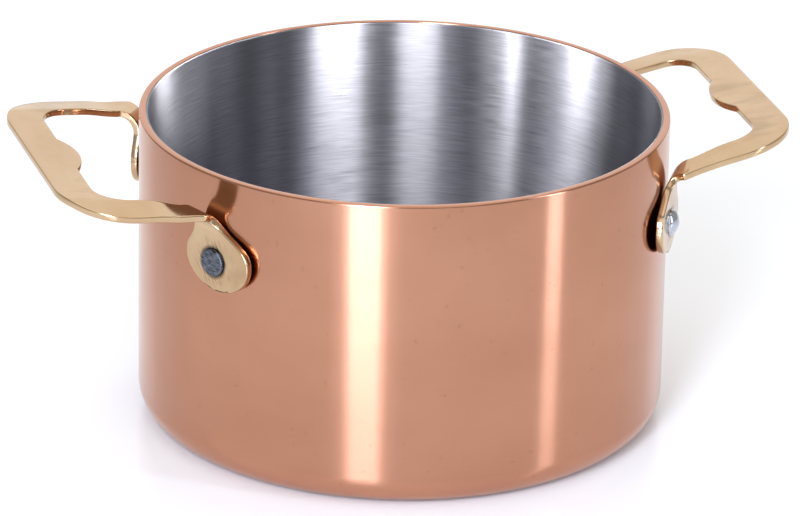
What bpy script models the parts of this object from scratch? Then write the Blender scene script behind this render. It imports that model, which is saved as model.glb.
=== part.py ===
"""Small round copper casserole with a steel lining and two riveted brass loop handles.

Metres, +Z up, base centre at the origin, handles along X. The object stands still: each handle is
held by two rivets, and nothing on it moves.
"""

import math

import bmesh
import bpy
import numpy as np
from mathutils import Matrix, Vector

MM = 0.001

# Pot
POT_RADIUS = 60.0 * MM
POT_HEIGHT = 72.0 * MM
CORNER_RADIUS = 7.0 * MM
COPPER_WALL = 1.2 * MM
STEEL_WALL = 0.5 * MM
GAP = 0.3 * MM
RIM_ROUND = 0.3 * MM
TURN_STEPS = 96

# Handle blank, cut from brass sheet
SHEET = 1.6 * MM
BAR_DEPTH = 8.3 * MM
HALF_SPAN = 33.8 * MM
ARM_WIDTH = 7.5 * MM
OUTER_CORNER = 14.5 * MM
INNER_CORNER = 6.8 * MM
THUMB_HALF = 8.7 * MM
THUMB_RISE = 2.7 * MM
SHEET_EDGE = 0.3 * MM

# Lug at each end of the blank, measured from its centre: up, and outboard along the wall
LUG_SPREAD = math.radians(30.5)
LUG_SEAT = POT_RADIUS + GAP + 0.1 * MM + SHEET / 2
LUG_SHIFT = 1.05 * MM
LUG_HALF_WIDTH = 9.25 * MM
LUG_DROP = 7.2 * MM
FOLD_START = 6.4 * MM
FOLD_RADIUS = 4.2 * MM
FOLD_TURN = math.radians(82)
# Height, inboard edge, outboard edge; the last two rows are on the fold
LUG_NECK = (
    (0.0, -8.2, 10.3),
    (2.4, -7.7, 9.8),
    (4.4, -5.9, 8.2),
    (5.6, -5.7, 5.7),
    (6.6, -5.8, 3.7),
    (9.6, -6.0, 0.3),
    (12.4, -6.6, 0.6),
)
ARM_STEPS = (0.0, 5.0, 11.0, 17.0, 32.0)
ARM_SET = 70.0 * MM

# Rivet, a little below the lug's centre
RIVET_DROP = 0.7 * MM
SHANK_RADIUS = 1.5 * MM
SHANK_DEPTH = 0.8 * MM
HOLE_RADIUS = SHANK_RADIUS + GAP
HEAD_RADIUS = 3.2 * MM
HEAD_HEIGHT = 1.2 * MM

# Each handle was folded and set by hand, so the two differ a little. The rise is the height of the
# sheet's middle above the end of the fold, at each of the arm's steps
HANDLES = {
    "left": {
        "heading": math.pi,
        "lug_height": 54.5 * MM,
        "lean": math.radians(-2.15),
        "reach": 86.9 * MM,
        "rise": (0.0, 0.7, 2.2, 2.8, 4.0),
        "tip": 0.155,
        "yaw": -0.020,
        "shift": 0.7 * MM,
    },
    "right": {
        "heading": 0.0,
        "lug_height": 52.0 * MM,
        "lean": math.radians(-0.2),
        "reach": 84.8 * MM,
        "rise": (0.0, 1.4, 3.9, 5.05, 6.9),
        "tip": 0.07,
        "yaw": 0.024,
        "shift": -0.8 * MM,
    },
}


def clear_scene():
    for thing in list(bpy.data.objects):
        bpy.data.objects.remove(thing, do_unlink=True)


def new_collection(name):
    collection = bpy.data.collections.new(name)
    bpy.context.scene.collection.children.link(collection)
    return collection


def metal(name, colour, roughness):
    """A bare metal finish."""
    material = bpy.data.materials.new(name)
    material.use_nodes = True
    shader = material.node_tree.nodes["Principled BSDF"]
    shader.inputs["Base Color"].default_value = (*colour, 1.0)
    shader.inputs["Metallic"].default_value = 1.0
    shader.inputs["Roughness"].default_value = roughness
    return material


def add_object(name, mesh, collection, material=None):
    thing = bpy.data.objects.new(name, mesh)
    collection.objects.link(thing)
    if material:
        mesh.materials.append(material)
    return thing


def turned(name, profile, steps, collection, material=None):
    """An object turned about Z from a profile of (radius, height) points, outer side top to bottom."""
    mesh = bpy.data.meshes.new(name)
    form = bmesh.new()
    points = [form.verts.new((radius, 0.0, height)) for radius, height in profile]
    for upper, lower in zip(points, points[1:]):
        form.edges.new((upper, lower))
    form.to_mesh(mesh)
    form.free()
    thing = add_object(name, mesh, collection, material)
    screw = thing.modifiers.new("Turn", "SCREW")
    screw.axis = "Z"
    screw.steps = steps
    screw.render_steps = steps
    screw.use_smooth_shade = True
    screw.use_merge_vertices = True
    screw.merge_threshold = 0.00001
    return thing


def arc(centre, radius, start, end, steps):
    """Points round a centre, with the angles in degrees."""
    angles = np.radians(np.linspace(start, end, steps + 1))
    return [(centre[0] + radius * math.cos(a), centre[1] + radius * math.sin(a)) for a in angles]


def cup_profile(outer, floor, wall, corner, rim):
    """The section of a straight-sided cup: down the outside, under the floor and back up the inside."""
    outside = arc((outer - rim, POT_HEIGHT - rim), rim, 90, 0, 2)
    outside += arc((outer - corner, floor + corner), corner, 0, -90, 6)
    inner_corner = corner - wall
    inside = arc((outer - corner, floor + corner), inner_corner, -90, 0, 6)
    inside.append((outer - wall, POT_HEIGHT))
    return outside + [(0.0, floor), (0.0, floor + wall)] + inside + outside[:1]


def cut(thing, cutter):
    boolean = thing.modifiers.new(f"Cut {cutter.name}", "BOOLEAN")
    boolean.operation = "DIFFERENCE"
    boolean.solver = "EXACT"
    boolean.object = cutter


def rivet_frame(hand, side):
    """The rivet's place, seen from the pot's axis: X points out through the lug and Z stays up."""
    turn = hand["heading"] + side * LUG_SPREAD
    raised = side * math.tan(hand["lean"]) * LUG_SEAT * math.sin(LUG_SPREAD)
    height = hand["lug_height"] - RIVET_DROP + raised
    return Matrix.Translation((0.0, 0.0, height)) @ Matrix.Rotation(turn, 4, "Z")


def smooth_through(keys, values, where):
    """A smooth curve through a few values, read at one place."""
    tangents = np.gradient(values, keys)
    i = int(np.clip(np.searchsorted(keys, where) - 1, 0, len(keys) - 2))
    span = keys[i + 1] - keys[i]
    k = (where - keys[i]) / span
    start = (1 + 2 * k) * (1 - k) ** 2 * values[i] + k * (1 - k) ** 2 * span * tangents[i]
    end = k**2 * (3 - 2 * k) * values[i + 1] + k**2 * (k - 1) * span * tangents[i + 1]
    return start + end


def fold_end(hand):
    """Where the fold becomes the arm: radius from the pot's axis, and height."""
    radius = LUG_SEAT + FOLD_RADIUS * (1 - math.cos(FOLD_TURN))
    height = hand["lug_height"] + FOLD_START + FOLD_RADIUS * math.sin(FOLD_TURN)
    return radius, height


def along_arm(radius, outboard):
    """From the lug's directions to the handle's: distance out from the pot's axis, distance aside."""
    out = radius * math.cos(LUG_SPREAD) - outboard * math.sin(LUG_SPREAD)
    aside = radius * math.sin(LUG_SPREAD) + outboard * math.cos(LUG_SPREAD)
    return out, aside


def arm_height(hand, out):
    """Height of the sheet's middle along the handle."""
    radius, height = fold_end(hand)
    steps = radius * math.cos(LUG_SPREAD) + np.array(ARM_STEPS) * MM
    return smooth_through(steps, height + np.array(hand["rise"]) * MM, out)


def arm_point(hand, side, out, aside):
    """A point of the bar or an arm: the arm's outer half tips down, and the bar is set a little off square."""
    start = fold_end(hand)[0] * math.cos(LUG_SPREAD)
    share = min(max((out - start) / (ARM_SET - start), 0.0), 1.0)
    share = share**2 * (3 - 2 * share)
    across_pot = side * aside
    tip = hand["tip"] * max(0.0, aside - HALF_SPAN + ARM_WIDTH) * share
    height = arm_height(hand, out) + math.tan(hand["lean"]) * across_pot - tip
    moved = out + share * math.tan(hand["yaw"]) * across_pot
    return Vector((moved, across_pot + share * hand["shift"], height))


def lug_point(hand, side, outboard, up):
    """A point of the lug or its fold, by its place on the flat blank."""
    radius, height = fold_end(hand)
    turn = min(max(up - FOLD_START, 0.0) / FOLD_RADIUS, FOLD_TURN)
    seat = LUG_SEAT + FOLD_RADIUS * (1 - math.cos(turn))
    flat = min(up, FOLD_START) + FOLD_RADIUS * math.sin(turn)
    share = turn / FOLD_TURN
    out, aside = along_arm(seat, outboard)
    met = arm_height(hand, along_arm(radius, outboard)[0]) - height
    rise = flat + share**2 * (3 - 2 * share) * met
    lean = math.tan(hand["lean"]) * side * aside
    return Vector((out, side * aside, hand["lug_height"] + rise + lean))


def across(inner, outer, columns):
    """Places across the sheet, from its inner edge to its outer edge."""
    return [tuple(np.add(inner, np.subtract(outer, inner) * k / columns)) for k in range(columns + 1)]


def bar_rows(hand, columns):
    """The bar from its middle to the corner, as rows across it, and then round the corner."""
    far = hand["reach"]
    near = far - BAR_DEPTH
    thumb = (THUMB_HALF**2 + THUMB_RISE**2) / (2 * THUMB_RISE)
    rows = []
    for k in range(7):
        aside = THUMB_HALF * k / 6
        rise = math.sqrt(thumb**2 - aside**2) - (thumb - THUMB_RISE)
        rows.append(across((near - rise, aside), (far, aside), columns))
    turn = HALF_SPAN - OUTER_CORNER
    inner = arc((near - INNER_CORNER, HALF_SPAN - ARM_WIDTH - INNER_CORNER), INNER_CORNER, 0, 90, 7)
    outer = arc((far - OUTER_CORNER, turn), OUTER_CORNER, 0, 90, 7)
    rows.append(across((near, (THUMB_HALF + turn) / 2), (far, (THUMB_HALF + turn) / 2), columns))
    rows += [across(a, b, columns) for a, b in zip(inner, outer)]
    return rows


def arm_rows(hand, columns, last_bar_row):
    """The arm from the corner to the start of the fold."""
    radius, _ = fold_end(hand)
    heights, inboard, outboard = neck_edges()
    up = FOLD_START + FOLD_RADIUS * FOLD_TURN
    inner_end = along_arm(radius, smooth_through(heights, inboard, up))
    outer_end = along_arm(radius, smooth_through(heights, outboard, up))
    inner_start, outer_start = last_bar_row[0], last_bar_row[-1]
    rows = []
    for k in np.linspace(0, 1, 7)[1:-1]:
        ease = k**2 * (3 - 2 * k)
        inner = (inner_start[0] + (inner_end[0] - inner_start[0]) * k,
                 inner_start[1] + (inner_end[1] - inner_start[1]) * ease)
        outer = (outer_start[0] + (outer_end[0] - outer_start[0]) * k,
                 outer_start[1] + (outer_end[1] - outer_start[1]) * ease)
        rows.append(across(inner, outer, columns))
    return rows


def neck_edges():
    heights, inboard, outboard = np.array(LUG_NECK).T * MM
    return heights, inboard, outboard


def lug_rows(columns):
    """The fold and the lug below it, down to the lug's lowest point."""
    heights, inboard, outboard = neck_edges()
    rows = []
    fold = [FOLD_START + FOLD_RADIUS * FOLD_TURN * k / 5 for k in range(5, 0, -1)]
    for up in fold + [FOLD_START - 1.1 * MM * k for k in range(6)]:
        inner = smooth_through(heights, inboard, up)
        outer = smooth_through(heights, outboard, up)
        rows.append(across((inner, up), (outer, up), columns))
    for turn in np.linspace(0, math.pi / 2, 7):
        half = LUG_HALF_WIDTH * math.cos(turn)
        up = -LUG_DROP * math.sin(turn)
        rows.append(across((LUG_SHIFT - half, up), (LUG_SHIFT + half, up), columns))
    return rows


def handle_sheet(hand, columns):
    """The middle surface of the bent handle, as rows of points from one lug's foot to the other's."""
    bar = bar_rows(hand, columns)
    arms = bar + arm_rows(hand, columns, bar[-1])
    lug = lug_rows(columns)
    halves = []
    for side in (-1, 1):
        half = [[arm_point(hand, side, *place) for place in row] for row in arms]
        half += [[lug_point(hand, side, *place) for place in row] for row in lug]
        halves.append(half)
    return halves[0][:0:-1] + halves[1]


def make_handle(name, hand, collection, material, cutters):
    form = bmesh.new()
    rows = [[form.verts.new(point) for point in row] for row in handle_sheet(hand, 2)]
    for before, after in zip(rows, rows[1:]):
        for k in range(len(before) - 1):
            form.faces.new((before[k], before[k + 1], after[k + 1], after[k]))
    bmesh.ops.remove_doubles(form, verts=form.verts, dist=0.00001)
    bmesh.ops.recalc_face_normals(form, faces=form.faces)
    mesh = bpy.data.meshes.new(name)
    form.to_mesh(mesh)
    form.free()
    mesh.shade_smooth()
    handle = add_object(name, mesh, collection, material)
    handle.rotation_euler.z = hand["heading"]
    solidify = handle.modifiers.new("Sheet", "SOLIDIFY")
    solidify.thickness = SHEET
    solidify.offset = 0.0
    solidify.use_even_offset = True
    bevel = handle.modifiers.new("Edges", "BEVEL")
    bevel.width = SHEET_EDGE
    bevel.segments = 1
    bevel.limit_method = "ANGLE"
    bevel.angle_limit = math.radians(60)
    for cutter in cutters:
        cut(handle, cutter)
    return handle


def rivet_profile():
    """A button head on a shank, as (radius, distance out from the pot's axis)."""
    face = LUG_SEAT + SHEET / 2 + GAP / 2
    flare = (HEAD_RADIUS**2 + HEAD_HEIGHT**2) / (2 * HEAD_HEIGHT)
    half_angle = math.degrees(math.asin(HEAD_RADIUS / flare))
    dome = arc((0.0, face + HEAD_HEIGHT - flare), flare, 90, 90 - half_angle, 5)
    tip = POT_RADIUS - SHANK_DEPTH
    return dome + [(SHANK_RADIUS, face), (SHANK_RADIUS, tip), (0.0, tip)]


def make_rivet(name, hand, side, collection, material):
    rivet = turned(name, rivet_profile(), 24, collection, material)
    rivet.matrix_world = rivet_frame(hand, side) @ Matrix.Rotation(math.pi / 2, 4, "Y")
    return rivet


def make_drill(name, hand, side, collection):
    """A cylinder that clears the rivet's shank through the lug and part way into the copper."""
    start = POT_RADIUS - SHANK_DEPTH - 0.2 * MM
    end = LUG_SEAT + SHEET * 2
    profile = [(0.0, end), (HOLE_RADIUS, end), (HOLE_RADIUS, start), (0.0, start)]
    drill = turned(name, profile, 24, collection)
    drill.matrix_world = rivet_frame(hand, side) @ Matrix.Rotation(math.pi / 2, 4, "Y")
    drill.hide_render = True
    drill.display_type = "WIRE"
    return drill


def main():
    clear_scene()
    parts = new_collection("Copper casserole")
    cutters = new_collection("Cutters")
    cutters.hide_render = True
    copper = metal("Polished copper", (0.76, 0.42, 0.29), 0.12)
    steel = metal("Brushed steel", (0.50, 0.50, 0.53), 0.32)
    brass = metal("Polished brass", (0.80, 0.62, 0.34), 0.12)
    rivet_steel = metal("Rivet steel", (0.36, 0.38, 0.42), 0.30)

    shell_profile = cup_profile(POT_RADIUS, 0.0, COPPER_WALL, CORNER_RADIUS, RIM_ROUND)
    shell = turned("copper_shell", shell_profile, TURN_STEPS, parts, copper)
    inset = COPPER_WALL + GAP
    liner_profile = cup_profile(POT_RADIUS - inset, inset, STEEL_WALL, CORNER_RADIUS - inset, 0.1 * MM)
    turned("steel_liner", liner_profile, TURN_STEPS, parts, steel)

    for hand_name, hand in HANDLES.items():
        drills = []
        front = 1 if math.cos(hand["heading"]) < 0 else -1
        for side, place in ((front, "front"), (-front, "back")):
            drill = make_drill(f"drill_{hand_name}_{place}", hand, side, cutters)
            drills.append(drill)
            cut(shell, drill)
            make_rivet(f"rivet_{hand_name}_{place}", hand, side, parts, rivet_steel)
        make_handle(f"handle_{hand_name}", hand, parts, brass, drills)


main()
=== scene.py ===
# %% [markdown]
# # A small copper casserole with brass loop handles
# The pot is one bonded sheet: copper outside for even heat, steel inside for easy cleaning. Two handles
# cut from brass sheet are folded at their ends, and each is held by two rivets. Nothing on it moves, so
# every piece rides on the one body, "root".
#
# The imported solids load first. They give every place and size, and each is later replaced by a piece
# with the same shape and a real finish.

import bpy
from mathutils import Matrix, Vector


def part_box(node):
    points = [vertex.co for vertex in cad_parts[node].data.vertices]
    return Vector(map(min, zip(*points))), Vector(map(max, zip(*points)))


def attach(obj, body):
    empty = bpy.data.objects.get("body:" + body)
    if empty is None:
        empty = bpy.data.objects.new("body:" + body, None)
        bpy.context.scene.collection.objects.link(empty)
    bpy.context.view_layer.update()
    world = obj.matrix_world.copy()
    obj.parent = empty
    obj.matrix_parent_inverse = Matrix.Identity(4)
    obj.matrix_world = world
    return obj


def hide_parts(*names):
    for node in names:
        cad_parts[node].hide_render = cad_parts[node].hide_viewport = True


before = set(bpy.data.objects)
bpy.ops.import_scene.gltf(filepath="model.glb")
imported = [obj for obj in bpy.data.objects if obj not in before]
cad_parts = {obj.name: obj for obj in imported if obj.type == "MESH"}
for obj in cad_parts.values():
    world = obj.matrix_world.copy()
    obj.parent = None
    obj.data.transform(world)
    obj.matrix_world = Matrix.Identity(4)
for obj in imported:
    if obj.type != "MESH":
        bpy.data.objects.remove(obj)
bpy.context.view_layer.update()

import math

import bmesh
import bpy
from mathutils import Matrix, Vector

MM = 0.001
POT_LOW, POT_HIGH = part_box("copper_shell")
POT_RADIUS = POT_HIGH.x
POT_HEIGHT = POT_HIGH.z
print(f"pot: {POT_RADIUS * 2 / MM:.1f} mm across, {POT_HEIGHT / MM:.1f} mm high")

# %% [markdown]
# ## The camera
# The pot is seen from a little above, through a long lens, so that its walls look almost parallel. The
# camera stands to the left of the line between the handles, and leans by one degree. A camera could
# follow a target with a constraint, but its place is easier to repeat when it is built from turns.

# %% Camera
VIEW_TURN = math.radians(-17.5)
VIEW_DOWN = math.radians(22.09)
VIEW_LEAN = math.radians(1.06)
VIEW_AIM = math.radians(0.02)
VIEW_BACK = 1.2326
VIEW_UP = 0.5360
LENS = 262.4

lens = bpy.data.cameras.new("long lens")
lens.lens = LENS
lens.sensor_width = 36.0
lens.clip_end = 50.0
camera = bpy.data.objects.new("camera", lens)
bpy.context.scene.collection.objects.link(camera)
stand = Matrix.Rotation(VIEW_TURN, 4, "Z") @ Matrix.Translation((0.0, -VIEW_BACK, VIEW_UP))
facing = Matrix.Rotation(VIEW_AIM, 4, "Z") @ Matrix.Rotation(math.pi / 2 - VIEW_DOWN, 4, "X")
camera.matrix_world = stand @ facing @ Matrix.Rotation(VIEW_LEAN, 4, "Z")
bpy.context.scene.camera = camera
print(f"camera {math.hypot(VIEW_BACK, VIEW_UP):.2f} m from the base's centre")

# %% [markdown]
# ## Small helpers
# A finished piece keeps its place in its mesh, so its object stays at the origin. `add_piece` links it,
# lets it ride on the body and hides the imported solid it stands for.

# %% Add a piece
def add_piece(name, form, material, node, sharp_angle=None):
    """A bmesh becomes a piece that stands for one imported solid. Edges over the angle, in degrees, stay
    sharp, and without one every edge is smooth."""
    mesh = bpy.data.meshes.new(name)
    form.to_mesh(mesh)
    form.free()
    mesh.shade_smooth()
    if sharp_angle:
        mesh.set_sharp_from_angle(angle=math.radians(sharp_angle))
    mesh.materials.append(material)
    piece = bpy.data.objects.new(name, mesh)
    bpy.context.scene.collection.objects.link(piece)
    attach(piece, "root")
    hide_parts(node)
    print(f"{name}: {len(mesh.polygons)} faces")
    return piece


# %% [markdown]
# Colours are written as sRGB hex values, the way a colour picker shows them, and shaders work in linear
# light. `linear` turns one into the other. `add_node` makes any shader node with its settings and links,
# and gives back one of its outputs, ready to feed the next node.

# %% Colours and nodes
def linear(hex_value):
    """An sRGB hex colour as linear red, green, blue and alpha."""
    channels = [int(hex_value[k:k + 2], 16) / 255 for k in (1, 3, 5)]
    return (*[c / 12.92 if c <= 0.04045 else ((c + 0.055) / 1.055) ** 2.4 for c in channels], 1.0)


def add_node(tree, kind, inputs=None, output=0, **settings):
    """One shader node's output. An input is a value, or the output that feeds it."""
    made = tree.nodes.new("ShaderNode" + kind)
    for setting, value in settings.items():
        setattr(made, setting, value)
    for socket, value in (inputs or {}).items():
        if isinstance(value, bpy.types.NodeSocket):
            tree.links.new(value, made.inputs[socket])
        else:
            made.inputs[socket].default_value = value
    return made.outputs[output]


# %% [markdown]
# Every finish here is bare metal with some noise in its colour and its roughness. A metal's look comes
# from what it mirrors, so the noise stays weak. Each pattern has its own size along each axis, in real
# millimetres, which makes dots, rings or scratches of the same noise. Noise seldom leaves the range from
# 0.3 to 0.7, so that range is what gets spread over the values wanted.

# %% Metals and noise
NOISE_SPAN = {"From Min": 0.3, "From Max": 0.7}
QUARTER_TURN = 0.25


def new_metal(name, roughness, ringed=0.0):
    """A bare metal's material and its tree. Ringed metal was worked in rings round the pot's axis."""
    material = bpy.data.materials.new(name)
    material.use_nodes = True
    tree = material.node_tree
    shader = tree.nodes["Principled BSDF"]
    shader.inputs["Metallic"].default_value = 1.0
    shader.inputs["Roughness"].default_value = roughness
    if ringed:
        shader.inputs["Anisotropic"].default_value = ringed
        shader.inputs["Anisotropic Rotation"].default_value = QUARTER_TURN
        round_pot = add_node(tree, "Tangent", direction_type="RADIAL", axis="Z")
        tree.links.new(round_pot, shader.inputs["Tangent"])
    return material, tree


def noise_of_size(tree, millimetres, detail=2.0, turn=(0.0, 0.0, 0.0)):
    """Noise with its own size along each axis. The axes can be turned."""
    place = add_node(tree, "TexCoord", output="Object")
    sizes = [size * MM for size in millimetres]
    laid = add_node(tree, "Mapping", {"Vector": place, "Scale": sizes, "Rotation": turn},
                    vector_type="TEXTURE")
    return add_node(tree, "TexNoise", {"Vector": laid, "Scale": 1.0, "Detail": detail})


def finish_metal(material, colour, roughness, height, bump, depth):
    """Feeds a metal's shader with its colour, its roughness and a relief of a real depth."""
    tree = material.node_tree
    shader = tree.nodes["Principled BSDF"]
    relief = add_node(tree, "Bump", {"Height": height, "Strength": bump, "Distance": depth})
    tree.links.new(colour, shader.inputs["Base Color"])
    tree.links.new(roughness, shader.inputs["Roughness"])
    tree.links.new(relief, shader.inputs["Normal"])
    print(f"{material.name}: {len(tree.nodes)} nodes")


# %% [markdown]
# ## Copper, spun and polished
# The outside was spun on a lathe and polished, which leaves rings too fine to see one by one. They draw
# every reflection out along the pot's height, so lights become upright streaks with soft sides. Thousands
# of modelled rings would do the same at a great cost, so the shader's anisotropy does it instead. Its
# tangent runs round the pot, and a quarter turn draws the reflections out across the rings.
#
# Small clouds of tarnish and a few pits keep the large plain wall from looking like plastic.

# %% Copper
RING_PITCH = 0.35  # in millimetres. The real rings are about ten times finer, too fine to show.


def make_copper():
    material, tree = new_metal("Copper, spun and polished", 0.17, ringed=0.8)
    rings = noise_of_size(tree, (83.3, 83.3, RING_PITCH), 3.0)
    clouds = noise_of_size(tree, (33.3, 33.3, 22.2), 4.0)
    dots = noise_of_size(tree, (1.54, 1.54, 1.54), 1.0)
    tarnish = add_node(tree, "MapRange", {"Value": clouds, **NOISE_SPAN})
    pits = add_node(tree, "MapRange", {"Value": dots, "From Min": 0.7, "From Max": 0.78, "To Max": 0.22})
    clean = add_node(tree, "Mix", {0: tarnish, 6: linear("#BF8A6F"), 7: linear("#B78267")}, 2,
                     data_type="RGBA")
    colour = add_node(tree, "Mix", {0: pits, 6: clean, 7: linear("#7A4A38")}, 2, data_type="RGBA")
    ring_gloss = add_node(tree, "MapRange", {"Value": rings, **NOISE_SPAN, "To Min": 0.16, "To Max": 0.18})
    cloud_gloss = add_node(tree, "MapRange", {"Value": clouds, **NOISE_SPAN, "To Min": -0.01,
                                              "To Max": 0.01})
    roughness = add_node(tree, "Math", {0: ring_gloss, 1: cloud_gloss}, operation="ADD")
    finish_metal(material, colour, roughness, rings, 0.01, 0.01 * MM)
    return material


COPPER = make_copper()

# %% [markdown]
# ## The copper body
# A spun pot is a solid of revolution. A cylinder could be hollowed out and bevelled, but drawing the
# section keeps every thickness in sight. The section has square corners, the ones that the real pot
# rounds are bevelled, and the section is spun once round. The rim is cut and polished, with a round outer
# edge, and the base turns up into the wall with the radius that the forming tool left.

# %% Body
TURN_STEPS = 256
COPPER_WALL = 1.6 * MM
STEEL_WALL = 0.36 * MM
SEAM = 0.02 * MM
BASE_CORNER = 7.0 * MM
RIM_OUTER_EDGE = 0.45 * MM
RIM_INNER_EDGE = 0.08 * MM
MERGE = 0.001 * MM
BASE_OUTSIDE, RIM_OUTSIDE, RIM_INSIDE, BASE_INSIDE = 1, 2, 3, 4  # places in a cup's section


def turned_form(section, corners, steps):
    """A section of (radius, height) points, spun once round the Z axis. Each corner has a radius and a
    number of segments."""
    form = bmesh.new()
    points = [form.verts.new((radius, 0.0, height)) for radius, height in section]
    for first, second in zip(points, points[1:]):
        form.edges.new((first, second))
    if section[0][0] > 0.0:
        form.edges.new((points[-1], points[0]))
    for index, (radius, segments) in corners.items():
        bmesh.ops.bevel(form, geom=[points[index]], offset=radius, offset_type="OFFSET",
                        segments=segments, profile=0.5, affect="VERTICES", material=-1)
    bmesh.ops.spin(form, geom=form.verts[:] + form.edges[:], cent=(0, 0, 0), axis=(0, 0, 1),
                   dvec=(0, 0, 0), angle=2 * math.pi, steps=steps, use_merge=True)
    bmesh.ops.remove_doubles(form, verts=form.verts, dist=MERGE)
    bmesh.ops.dissolve_degenerate(form, dist=MERGE, edges=form.edges)
    bmesh.ops.recalc_face_normals(form, faces=form.faces)
    return form


def cup_section(outer, floor, wall, top):
    """From the axis under the floor, up the outside, over the rim and down the inside to the axis."""
    return [(0.0, floor), (outer, floor), (outer, top), (outer - wall, top), (outer - wall, floor + wall),
            (0.0, floor + wall)]


body_corners = {
    BASE_OUTSIDE: (BASE_CORNER, 24),
    RIM_OUTSIDE: (RIM_OUTER_EDGE, 5),
    RIM_INSIDE: (RIM_INNER_EDGE, 2),
    BASE_INSIDE: (BASE_CORNER - COPPER_WALL, 16),
}
body = turned_form(cup_section(POT_RADIUS, 0.0, COPPER_WALL, POT_HEIGHT), body_corners, TURN_STEPS)
add_piece("copper_body", body, COPPER, "copper_shell", sharp_angle=50)

# %% [markdown]
# ## Stainless steel, brushed in rings
# The inside is steel, brushed on the same lathe with a coarser abrasive. The strokes run round the wall,
# break off and start again, and catch the light as fine bright and dark dashes. A picture of brushed
# steel would show a seam where its ends meet, and noise that is long round the wall and very short up it
# has none. The steel is rougher than the copper, so its streaks are broad bands, and full anisotropy
# keeps their sides clear.

# %% Brushed steel
STROKE_PITCH = 0.24  # in millimetres, about three times as coarse as the real strokes


def make_brushed_steel():
    material, tree = new_metal("Stainless steel, ring brushed", 0.33, ringed=1.0)
    strokes = noise_of_size(tree, (6.67, 6.67, STROKE_PITCH), 4.0)
    clouds = noise_of_size(tree, (25.0, 25.0, 11.1), 3.0)
    share = add_node(tree, "MapRange", {"Value": strokes, **NOISE_SPAN})
    colour = add_node(tree, "Mix", {0: share, 6: linear("#75757C"), 7: linear("#87878E")}, 2,
                      data_type="RGBA")
    grain = add_node(tree, "MapRange", {"Value": strokes, **NOISE_SPAN, "To Min": 0.29, "To Max": 0.36})
    wear = add_node(tree, "MapRange", {"Value": clouds, **NOISE_SPAN, "To Min": -0.02, "To Max": 0.02})
    roughness = add_node(tree, "Math", {0: grain, 1: wear}, operation="ADD")
    finish_metal(material, colour, roughness, strokes, 0.08, 0.04 * MM)
    return material


STEEL = make_brushed_steel()

# %% [markdown]
# ## The steel lining
# It lies against the copper all the way, and shows as a thin grey ring in the rim's cut edge. It ends a
# little below the copper, as polishing wears its thin edge first. It is the same kind of section as the
# copper's, so the same two functions make it.

# %% Lining
LIP_STEP = 0.15 * MM
LIP_OUTER_EDGE = 0.04 * MM
LIP_INNER_EDGE = 0.25 * MM
liner_radius = POT_RADIUS - COPPER_WALL - SEAM
liner_corner = BASE_CORNER - COPPER_WALL - SEAM
liner_corners = {
    BASE_OUTSIDE: (liner_corner, 16),
    RIM_OUTSIDE: (LIP_OUTER_EDGE, 2),
    RIM_INSIDE: (LIP_INNER_EDGE, 5),
    BASE_INSIDE: (liner_corner - STEEL_WALL, 16),
}
liner_section = cup_section(liner_radius, COPPER_WALL + SEAM, STEEL_WALL, POT_HEIGHT - LIP_STEP)
liner = turned_form(liner_section, liner_corners, TURN_STEPS)
add_piece("steel_lining", liner, STEEL, "steel_liner", sharp_angle=50)

# %% [markdown]
# ## The handles
# Each handle is a flat blank: a bar with a rise for the thumb, two arms, and a round lug at each end. The
# lugs are folded down, and because they lie flat on a round wall, each fold runs at an angle to its arm.
#
# A flat shape could be cut out and bent with modifiers, but the two folds run in different directions and
# the arms sweep as well. So a plain grid is made, and each of its points is carried to its place on the
# bent sheet. The grid's rows go across the sheet, from its inner edge to its outer edge, and follow each
# other from the middle of the bar, along an arm, over the fold and down to the end of a lug.
#
# The two handles were bent by hand, so they differ a little. `reach` goes from the pot's axis to the bar's
# outer edge. `rise` is how far an arm has risen above its fold, in millimetres, at each of ARM_STEPS.
# `lean` tilts the handle to one side, `tip` drops the arms' outer edges, and `yaw` and `shift` set the bar
# off square and aside.

# %% Handle sizes
SHEET = 1.6 * MM
BAR_DEPTH = 8.3 * MM
HALF_SPAN = 33.8 * MM
ARM_WIDTH = 7.5 * MM
OUTER_CORNER = 14.5 * MM
INNER_CORNER = 6.8 * MM
THUMB_HALF = 8.7 * MM
THUMB_RISE = 2.7 * MM
LUG_SPREAD = math.radians(30.5)
LUG_SEAT = POT_RADIUS + 0.4 * MM + SHEET / 2
LUG_SHIFT = 1.05 * MM
LUG_HALF_WIDTH = 9.25 * MM
LUG_DROP = 7.2 * MM
FOLD_START = 6.4 * MM
FOLD_RADIUS = 4.2 * MM
FOLD_TURN = math.radians(82)
LUG_NECK = (  # height above the lug's centre, inboard edge and outboard edge, in millimetres
    (0.0, -8.2, 10.3),
    (2.4, -7.7, 9.8),
    (4.2, -6.6, 8.2),
    (5.6, -5.95, 5.7),
    (6.6, -5.8, 3.7),
    (9.6, -6.0, 0.3),
    (12.4, -6.6, 0.6),
)
ARM_STEPS = (0.0, 5.0, 11.0, 17.0, 32.0)  # where each handle's rises are given, outwards from the fold
ARM_SET = 70.0 * MM
HANDLES = {
    "left": {
        "heading": math.pi,
        "lug_height": 54.5 * MM,
        "lean": math.radians(-2.15),
        "reach": 86.9 * MM,
        "rise": (0.0, 0.7, 2.2, 2.8, 4.0),
        "tip": 0.155,
        "yaw": -0.020,
        "shift": 0.7 * MM,
    },
    "right": {
        "heading": 0.0,
        "lug_height": 52.0 * MM,
        "lean": math.radians(-0.2),
        "reach": 84.8 * MM,
        "rise": (0.0, 1.8, 3.75, 5.1, 6.9),
        "tip": 0.07,
        "yaw": 0.024,
        "shift": -0.8 * MM,
    },
}
BAR_ROWS = 24
CORNER_ROWS = 20
ARM_ROWS = 20
FOLD_ROWS = 16
NECK_ROWS = 24
FOOT_ROWS = 24
COLUMNS = 12
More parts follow.
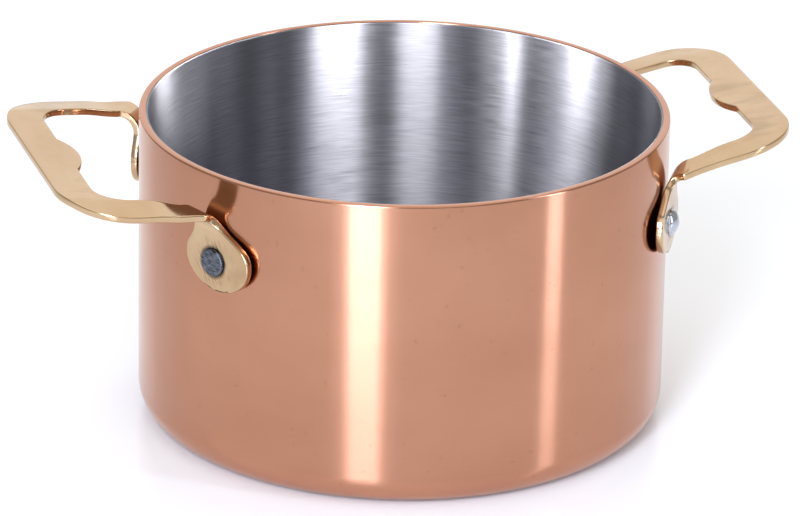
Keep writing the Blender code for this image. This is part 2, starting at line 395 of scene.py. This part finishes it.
print(f"handle blank: {HALF_SPAN * 2 / MM:.1f} mm wide, from {SHEET / MM:.1f} mm sheet")


# %% [markdown]
# A few places along the neck or the arm are joined by a smooth curve, and a corner is a plain arc. The
# curve passes through every place and never swings far past it, as a curve through many points can.

# %% Curves
def smooth_through(keys, values, where):
    """A smooth curve through a few values, read at one place."""
    last = len(keys) - 1
    slopes = []
    for k in range(last + 1):
        if k == 0 or k == last:
            j = min(k, last - 1)
            slopes.append((values[j + 1] - values[j]) / (keys[j + 1] - keys[j]))
        else:
            before, after = keys[k] - keys[k - 1], keys[k + 1] - keys[k]
            rise_before, rise_after = values[k] - values[k - 1], values[k + 1] - values[k]
            weighed = rise_after * before**2 + rise_before * after**2
            slopes.append(weighed / (before * after * (before + after)))
    i = 0
    while i < last - 1 and where > keys[i + 1]:
        i += 1
    span = keys[i + 1] - keys[i]
    k = (where - keys[i]) / span
    from_start = (1 + 2 * k) * (1 - k) ** 2 * values[i] + k * (1 - k) ** 2 * span * slopes[i]
    return from_start + k**2 * (3 - 2 * k) * values[i + 1] + k**2 * (k - 1) * span * slopes[i + 1]


def arc(centre, radius, start, end, steps):
    """Points round a centre, with the angles in degrees."""
    turns = [math.radians(start + (end - start) * k / steps) for k in range(steps + 1)]
    return [(centre[0] + radius * math.cos(t), centre[1] + radius * math.sin(t)) for t in turns]


def neck(up):
    """The neck's inboard and outboard edges at a height on the blank."""
    keys = [row[0] * MM for row in LUG_NECK]
    return tuple(smooth_through(keys, [row[k] * MM for row in LUG_NECK], up) for k in (1, 2))


print("neck where the fold starts, in mm:", [round(edge / MM, 1) for edge in neck(FOLD_START)])

# %% [markdown]
# The blank is described by the ends of its rows. The bar and the arms are measured outwards from the
# pot's axis and aside from the handle's middle, and the lug is measured from its own centre.

# %% The bar
def bar_ends(hand):
    """The bar's rows, from its middle round the corner to the arm."""
    far = hand["reach"]
    near = far - BAR_DEPTH
    thumb_radius = (THUMB_HALF**2 + THUMB_RISE**2) / (2 * THUMB_RISE)
    ends = []
    for k in range(BAR_ROWS + 1):
        aside = THUMB_HALF * k / BAR_ROWS
        rise = math.sqrt(thumb_radius**2 - aside**2) - (thumb_radius - THUMB_RISE)
        ends.append(((near - rise, aside), (far, aside)))
    inner_centre = (near - INNER_CORNER, HALF_SPAN - ARM_WIDTH - INNER_CORNER)
    outer_centre = (far - OUTER_CORNER, HALF_SPAN - OUTER_CORNER)
    inner = arc(inner_centre, INNER_CORNER, 0, 90, CORNER_ROWS)
    outer = arc(outer_centre, OUTER_CORNER, 0, 90, CORNER_ROWS)
    for k in (1, 2, 3):
        share = k / 4
        ends.append(((near, THUMB_HALF + (inner[0][1] - THUMB_HALF) * share),
                     (far, THUMB_HALF + (outer[0][1] - THUMB_HALF) * share)))
    return ends + list(zip(inner, outer))


print(len(bar_ends(HANDLES["left"])), "rows along half a bar")

# %% [markdown]
# The lug's own directions are turned by the angle that the lug sits at round the pot. `along_arm` turns a
# place from those directions into the handle's, so that the arm can run smoothly into the fold.

# %% The arms and the lugs
def along_arm(radius, outboard):
    """From the lug's directions to the handle's: out from the pot's axis, and aside."""
    out = radius * math.cos(LUG_SPREAD) - outboard * math.sin(LUG_SPREAD)
    return out, radius * math.sin(LUG_SPREAD) + outboard * math.cos(LUG_SPREAD)


def arm_ends(last_row):
    """The arm's rows, from the corner to the start of the fold."""
    radius = LUG_SEAT + FOLD_RADIUS * (1 - math.cos(FOLD_TURN))
    fold = [along_arm(radius, edge) for edge in neck(FOLD_START + FOLD_RADIUS * FOLD_TURN)]
    ends = []
    for row in range(1, ARM_ROWS):
        k = row / ARM_ROWS
        ease = k**2 * (3 - 2 * k)
        ends.append(tuple((a[0] + (b[0] - a[0]) * k, a[1] + (b[1] - a[1]) * ease)
                          for a, b in zip(last_row, fold)))
    return ends


def lug_ends():
    """The fold's and the lug's rows, down to the lug's lowest point."""
    ups = [FOLD_START + FOLD_RADIUS * FOLD_TURN * k / FOLD_ROWS for k in range(FOLD_ROWS, 0, -1)]
    ups += [FOLD_START * k / NECK_ROWS for k in range(NECK_ROWS, 0, -1)]
    ends = [tuple((edge, up) for edge in neck(up)) for up in ups]
    for k in range(FOOT_ROWS + 1):
        turn = math.pi / 2 * k / FOOT_ROWS
        half = LUG_HALF_WIDTH * math.cos(turn)
        up = -LUG_DROP * math.sin(turn)
        ends.append(((LUG_SHIFT - half, up), (LUG_SHIFT + half, up)))
    return ends


print(len(lug_ends()), "rows over a fold and down its lug")

# %% [markdown]
# Bending keeps each point's place on the blank and gives it a height. The arms sweep down to the pot, the
# fold turns through a little less than a right angle, and the lug stands upright against the wall.

# %% Bending
def fold_end(hand):
    """Where the fold becomes the arm: radius from the pot's axis, and height."""
    radius = LUG_SEAT + FOLD_RADIUS * (1 - math.cos(FOLD_TURN))
    return radius, hand["lug_height"] + FOLD_START + FOLD_RADIUS * math.sin(FOLD_TURN)


def arm_height(hand, out):
    """Height of the sheet's middle along the handle."""
    radius, height = fold_end(hand)
    steps = [radius * math.cos(LUG_SPREAD) + step * MM for step in ARM_STEPS]
    return smooth_through(steps, [height + rise * MM for rise in hand["rise"]], out)


def arm_point(hand, side, out, aside):
    """A point of the bar or an arm. The bar is set a little off square."""
    start = fold_end(hand)[0] * math.cos(LUG_SPREAD)
    along = min(max((out - start) / (ARM_SET - start), 0.0), 1.0)
    share = along**2 * (3 - 2 * along)
    across_pot = side * aside
    tip = hand["tip"] * max(0.0, aside - HALF_SPAN + ARM_WIDTH) * share
    height = arm_height(hand, out) + math.tan(hand["lean"]) * across_pot - tip
    moved = out + share * math.tan(hand["yaw"]) * across_pot
    return Vector((moved, across_pot + share * hand["shift"], height))


def lug_point(hand, side, outboard, up):
    """A point of the lug or its fold, by its place on the flat blank."""
    radius, height = fold_end(hand)
    turn = min(max(up - FOLD_START, 0.0) / FOLD_RADIUS, FOLD_TURN)
    seat = LUG_SEAT + FOLD_RADIUS * (1 - math.cos(turn))
    flat = min(up, FOLD_START) + FOLD_RADIUS * math.sin(turn)
    share = turn / FOLD_TURN
    out, aside = along_arm(seat, outboard)
    met = arm_height(hand, along_arm(radius, outboard)[0]) - height
    rise = flat + share**2 * (3 - 2 * share) * met
    lean = math.tan(hand["lean"]) * side * aside
    return Vector((out, side * aside, hand["lug_height"] + rise + lean))


for side_name, hand in HANDLES.items():
    print(f"{side_name} bar: {arm_height(hand, hand['reach']) / MM:.1f} mm above the base")

# %% [markdown]
# ## Brass, rolled and buffed
# The handles are cut from rolled brass sheet and buffed. Buffing leaves a mirror with a slight wave, and
# handling leaves cloudy brown patches and hair scratches.
#
# Setting a rivet scuffs the brass round its head. Round each head a dark ring is also painted in, as
# painted shade where the head shades the brass. These marks are drawn where they belong by the distance to
# the nearest rivet. A painted mask would do it too, but the distance follows the rivets when a handle's
# height changes.

# %% Distance to the nearest rivet
HEAD_RADIUS = 3.2 * MM
RIVET_DROP = 0.7 * MM
SCUFF_RADIUS = 6.5 * MM
# painted shade: how far the dark ring painted round each rivet head reaches
SHADE_RING_RADIUS = HEAD_RADIUS * 1.3


def on_rivet(hand, side, radius):
    """The point of a rivet's axis at a radius from the pot's axis."""
    turn = hand["heading"] + side * LUG_SPREAD
    raised = side * math.tan(hand["lean"]) * LUG_SEAT * math.sin(LUG_SPREAD)
    height = hand["lug_height"] - RIVET_DROP + raised
    return Vector((radius * math.cos(turn), radius * math.sin(turn), height))


def nearness(tree, far):
    """1 beside the nearest rivet's head and 0 at a distance from its axis."""
    place = add_node(tree, "TexCoord", output="Object")
    nearest = None
    for hand in HANDLES.values():
        for side in (-1, 1):
            centre = on_rivet(hand, side, LUG_SEAT + SHEET / 2)
            away = add_node(tree, "VectorMath", {0: place, 1: centre}, "Value", operation="DISTANCE")
            if nearest:
                away = add_node(tree, "Math", {0: nearest, 1: away}, operation="MINIMUM")
            nearest = away
    return add_node(tree, "MapRange", {"Value": nearest, "From Min": HEAD_RADIUS, "From Max": far,
                                       "To Min": 1.0, "To Max": 0.0})


print("left front rivet at", [round(place / MM, 1) for place in on_rivet(HANDLES["left"], 1, LUG_SEAT)])


# %% Brass
HAIR_PITCH = 0.25  # in millimetres, about five times as coarse as real hair scratches
HAIR_TURN = (0.0, 0.0, 0.5)
STROKE_TURN = (0.0, 1.05, -1.04)


def brass_colour(tree, clouds):
    """Clean brass with clouds and brown patches, scuffed round the rivets, with a painted shadow ring round
    each head.
    """
    smudges = noise_of_size(tree, (18.2, 9.1, 12.5), 5.0)
    strokes = noise_of_size(tree, (4.17, 0.278, 0.278), 3.0, STROKE_TURN)
    tarnish = add_node(tree, "MapRange", {"Value": clouds, **NOISE_SPAN})
    brown = add_node(tree, "MapRange", {"Value": smudges, "From Min": 0.56, "From Max": 0.72,
                                        "To Max": 0.45})
    marks = add_node(tree, "MapRange", {"Value": strokes, "From Min": 0.5, "From Max": 0.64})
    scuffs = add_node(tree, "Math", {0: nearness(tree, SCUFF_RADIUS), 1: marks}, operation="MULTIPLY")
    colour = linear("#C9AC89")
    for share, layer in (
        (tarnish, "#BF9F7A"),
        (brown, "#8E6E4A"),
        (scuffs, "#5E5038"),
        # painted shade: a dark ring round each rivet head
        (nearness(tree, SHADE_RING_RADIUS), "#2E2A24"),
    ):
        colour = add_node(tree, "Mix", {0: share, 6: colour, 7: linear(layer)}, 2, data_type="RGBA")
    return colour


def make_brass():
    material, tree = new_metal("Brass sheet, buffed", 0.12)
    clouds = noise_of_size(tree, (11.1, 16.7, 11.1), 4.0)
    hairs = noise_of_size(tree, (HAIR_PITCH, 11.1, 1.43), 2.0, HAIR_TURN)
    gloss = add_node(tree, "MapRange", {"Value": clouds, **NOISE_SPAN, "To Min": 0.1, "To Max": 0.17})
    scratches = add_node(tree, "MapRange", {"Value": hairs, **NOISE_SPAN, "To Min": -0.02, "To Max": 0.04})
    roughness = add_node(tree, "Math", {0: gloss, 1: scratches}, operation="ADD")
    finish_metal(material, brass_colour(tree, clouds), roughness, clouds, 0.05, 0.2 * MM)
    return material


BRASS = make_brass()

# %% [markdown]
# Now the grid can be carried onto the bent sheet. One grid makes a whole handle, from the end of one lug
# to the end of the other. It is given its thickness, and its sharp edges are eased as a file and a buffing
# wheel leave them.

# %% Handles
EASED_EDGE = 0.28 * MM
SHARP = math.radians(60)
LUG_END_MERGE = 0.005 * MM


def blank_rows(hand):
    """Every row of the blank, from lug to lug: its side, the function that bends it, and its ends."""
    bar = bar_ends(hand)
    arms = bar + arm_ends(bar[-1])
    half = [(arm_point, ends) for ends in arms] + [(lug_point, ends) for ends in lug_ends()]
    return [(-1, *row) for row in half[:0:-1]] + [(1, *row) for row in half]


def make_handle(hand):
    rows = blank_rows(hand)
    form = bmesh.new()
    bmesh.ops.create_grid(form, x_segments=COLUMNS, y_segments=len(rows) - 1, size=0.5)
    for point in form.verts:
        side, carry, (inner, outer) = rows[round((point.co.y + 0.5) * (len(rows) - 1))]
        share = point.co.x + 0.5
        blank = [a + (b - a) * share for a, b in zip(inner, outer)]
        point.co = carry(hand, side, *blank)
    bmesh.ops.remove_doubles(form, verts=form.verts, dist=LUG_END_MERGE)
    bmesh.ops.recalc_face_normals(form, faces=form.faces)
    if sum(face.normal.z * face.calc_area() for face in form.faces) < 0:
        bmesh.ops.reverse_faces(form, faces=form.faces)
    for point in form.verts:
        point.co += point.normal * SHEET / 2
    bmesh.ops.solidify(form, geom=form.faces[:], thickness=SHEET)
    bmesh.ops.recalc_face_normals(form, faces=form.faces)
    rim = [edge for edge in form.edges if len(edge.link_faces) == 2 and edge.calc_face_angle() > SHARP]
    bmesh.ops.bevel(form, geom=rim, offset=EASED_EDGE, offset_type="OFFSET", segments=3, profile=0.5,
                    affect="EDGES", material=-1)
    heading = Matrix.Rotation(hand["heading"], 3, "Z")
    bmesh.ops.rotate(form, verts=form.verts, cent=(0, 0, 0), matrix=heading)
    return form


for side_name, hand in HANDLES.items():
    add_piece(f"brass_handle_{side_name}", make_handle(hand), BRASS, f"handle_{side_name}")

# %% [markdown]
# ## Rivet steel
# The rivets are plain steel wire, headed and set with a hammer. A hammer that lands flat leaves a dull,
# scarred face, and a hollow punch leaves a smooth bright dome. Both are one function with other numbers,
# because the metal is the same. The flat head's much darker colours are painted shade.

# %% Rivet steel
SCAR_TURN = (0.0, 0.2, -1.04)


def make_rivet_steel(name, dark, light, smooth, rough, dents):
    material, tree = new_metal(name, smooth)
    scars = noise_of_size(tree, (1.25, 0.385, 0.385), 4.0, SCAR_TURN)
    share = add_node(tree, "MapRange", {"Value": scars, **NOISE_SPAN})
    colour = add_node(tree, "Mix", {0: share, 6: linear(dark), 7: linear(light)}, 2, data_type="RGBA")
    roughness = add_node(tree, "MapRange", {"Value": scars, **NOISE_SPAN, "To Min": smooth, "To Max": rough})
    finish_metal(material, colour, roughness, scars, dents, 0.1 * MM)
    return material


# painted shade: the flat head's steel is given far darker colours than the dome's, though the metal is the
# same
DULL_STEEL_PAINTED_SHADE = make_rivet_steel("Rivet steel, hammered, painted shade", "#2C2E33", "#7F838B", 0.35, 0.6, 0.7)
BRIGHT_STEEL = make_rivet_steel("Rivet steel, bright", "#A4A7AD", "#CCCFD4", 0.1, 0.18, 0.06)

# %% [markdown]
# ## The rivets
# A rivet is turned too: a low head on a short shank that passes through the lug into the wall. The head's
# section has two corners, one at its edge and one on its crown. Rounding them more or less gives a flat
# hammered head or a dome. The front rivet of the left handle is the flat one.

# %% Rivets
SHANK_RADIUS = 1.5 * MM
SHANK_DEPTH = 0.8 * MM
FLAT_HEAD = (0.75 * MM, 0.12)  # height, and the share of it from the edge up to the crown
DOMED_HEAD = (1.9 * MM, 0.8)
CROWN_OUT = 0.6
CROWN_DROP = 0.3
HEAD_EDGE = 0.35 * MM
CROWN_ROUNDING = 1.0 * MM
HEAD_STEPS = 48


def rivet_form(hand, side, height, crown):
    """A head with a rounded edge on a shank, pointing out of the pot through the lug."""
    face = LUG_SEAT + SHEET / 2
    tip = POT_RADIUS - SHANK_DEPTH
    section = [
        (0.0, tip),
        (SHANK_RADIUS, tip),
        (SHANK_RADIUS, face),
        (HEAD_RADIUS, face),
        (HEAD_RADIUS, face + height * (1 - crown)),
        (HEAD_RADIUS * CROWN_OUT, face + height * (1 - crown * CROWN_DROP)),
        (0.0, face + height),
    ]
    form = turned_form(section, {4: (HEAD_EDGE * (1 + crown), 5), 5: (CROWN_ROUNDING, 6)}, HEAD_STEPS)
    round_pot = Matrix.Rotation(hand["heading"] + side * LUG_SPREAD, 4, "Z")
    place = Matrix.Translation(on_rivet(hand, side, 0.0)) @ round_pot @ Matrix.Rotation(math.pi / 2, 4, "Y")
    bmesh.ops.transform(form, matrix=place, verts=form.verts)
    return form


for side_name, hand in HANDLES.items():
    front = 1 if side_name == "left" else -1
    for side, where in ((front, "front"), (-front, "back")):
        flat = side_name == "left" and where == "front"
        form = rivet_form(hand, side, *(FLAT_HEAD if flat else DOMED_HEAD))
        add_piece(f"rivet_{side_name}_{where}_head", form, DULL_STEEL_PAINTED_SHADE if flat else BRIGHT_STEEL,
                  f"rivet_{side_name}_{where}", sharp_angle=40)

# %% [markdown]
# ## The floor
# The pot stands on a white acrylic sheet. Seen from above, upright walls mirror mostly the floor, and a
# glossy floor carries the reflections of the upright lights on to them. A matt floor would leave the
# copper one even colour.

# %% Floor
FLOOR_HALF = 6.0


def make_floor():
    material = bpy.data.materials.new("White acrylic sheet")
    material.use_nodes = True
    shader = material.node_tree.nodes["Principled BSDF"]
    shader.inputs["Base Color"].default_value = linear("#FAFAF9")
    shader.inputs["Roughness"].default_value = 0.08
    shader.inputs["Specular IOR Level"].default_value = 0.3
    form = bmesh.new()
    bmesh.ops.create_grid(form, x_segments=1, y_segments=1, size=FLOOR_HALF)
    mesh = bpy.data.meshes.new("floor")
    form.to_mesh(mesh)
    form.free()
    mesh.materials.append(material)
    floor = bpy.data.objects.new("floor", mesh)
    bpy.context.scene.collection.objects.link(floor)
    print(f"floor: {FLOOR_HALF * 2:.0f} m square")


make_floor()

# %% [markdown]
# ## The lights
# Polished metal shows its surroundings and hardly its own colour, so each light is placed for what the
# metal mirrors. On a round wall, a light's streak stands about halfway between the camera's direction and
# the light's own. Tall, narrow softboxes that stand upright draw the streaks, and large ones overhead,
# behind and in front keep the floor white. A bright narrow box in front of wider, dimmer ones gives the
# main streak its soft sides.
#
# Photographers hang black flags to keep a light off part of a pot. `only` does this: a light linked to
# some pieces leaves the others alone. It keeps the inside's bright bands off the copper.

# %% A softbox
AIM_HEIGHT = 0.05


def softbox(name, turn, up, distance, width, height, radiance, tint="#FFFFFF", upright=False, only=None):
    """A softbox placed by its turn from the camera and its angle up, in degrees. It leans towards the pot
    or stands upright, and can be flagged off so that it lights only the pieces named."""
    panel = bpy.data.lights.new(name, "AREA")
    panel.shape = "RECTANGLE"
    panel.size = width
    panel.size_y = height
    panel.color = linear(tint)[:3]
    panel.energy = radiance * width * height * math.pi
    light = bpy.data.objects.new(name, panel)
    bpy.context.scene.collection.objects.link(light)
    up = math.radians(up)
    turned = Matrix.Rotation(VIEW_TURN + math.radians(turn), 4, "Z")
    height_up = AIM_HEIGHT + distance * math.sin(up)
    stand = Matrix.Translation((0.0, -distance * math.cos(up), height_up))
    lean = 0.0 if upright else up
    light.matrix_world = turned @ stand @ Matrix.Rotation(math.pi / 2 - lean, 4, "X")
    light.visible_camera = False
    if only:
        lit = bpy.data.collections.new(name)
        for piece in only:
            lit.objects.link(bpy.data.objects[piece])
        light.light_linking.receiver_collection = lit


# %% Lights
STRIP_HEIGHT = 0.8
INNER_STRIP_HEIGHT = 1.2
COOL_WHITE = "#DCE8FF"
INSIDE = ["steel_lining"]  # every other piece, and the floor, is outside
OUTSIDE = [piece.name for piece in bpy.context.scene.objects
           if piece.type == "MESH" and piece.name not in INSIDE]

softbox("overhead", 180, 75, 1.6, 1.6, 1.6, 0.9)
softbox("back wall", 180, 25, 2.4, 4.0, 2.0, 0.74)
softbox("front fill", 0, 50, 1.6, 1.6, 0.8, 0.8)

for width, radiance in ((0.21, 16.0), (0.29, 5.5), (0.44, 1.5)):
    softbox("key strip", -14.9, 25, 1.0 + width / 10, width, STRIP_HEIGHT, radiance, COOL_WHITE,
            upright=True, only=OUTSIDE)
softbox("right strip", 65.5, 25, 1.0, 0.11, STRIP_HEIGHT, 12.0, COOL_WHITE, upright=True, only=OUTSIDE)

INNER_STRIPS = (  # letter, turn from the camera in degrees, width in metres, radiance
    ("a", 32.5, 0.31, 21.5),
    ("b", -6.0, 0.25, 15.5),
    ("c", -40.0, 0.12, 2.4),
    ("d", -51.5, 0.06, 50.0),
    ("e", -89.0, 0.18, 32.0),
    ("f", -102.0, 0.16, 8.0),
    ("g", 139.0, 0.19, 28.0),
)
for letter, turn, width, radiance in INNER_STRIPS:
    softbox("inner strip " + letter, turn, 40, 1.0, width, INNER_STRIP_HEIGHT, radiance, upright=True,
            only=INSIDE)

# %% [markdown]
# The room itself gives an even, dim white from all round, which fills the shadows. The plain view
# transform keeps the floor white.

# %% The room
ROOM_LIGHT = 0.48
world = bpy.data.worlds.new("studio")
world.use_nodes = True
world.node_tree.nodes["Background"].inputs["Color"].default_value = linear("#FFFFFF")
world.node_tree.nodes["Background"].inputs["Strength"].default_value = ROOM_LIGHT
bpy.context.scene.world = world
bpy.context.scene.view_settings.view_transform = "Standard"
print(f"room light: {ROOM_LIGHT}")
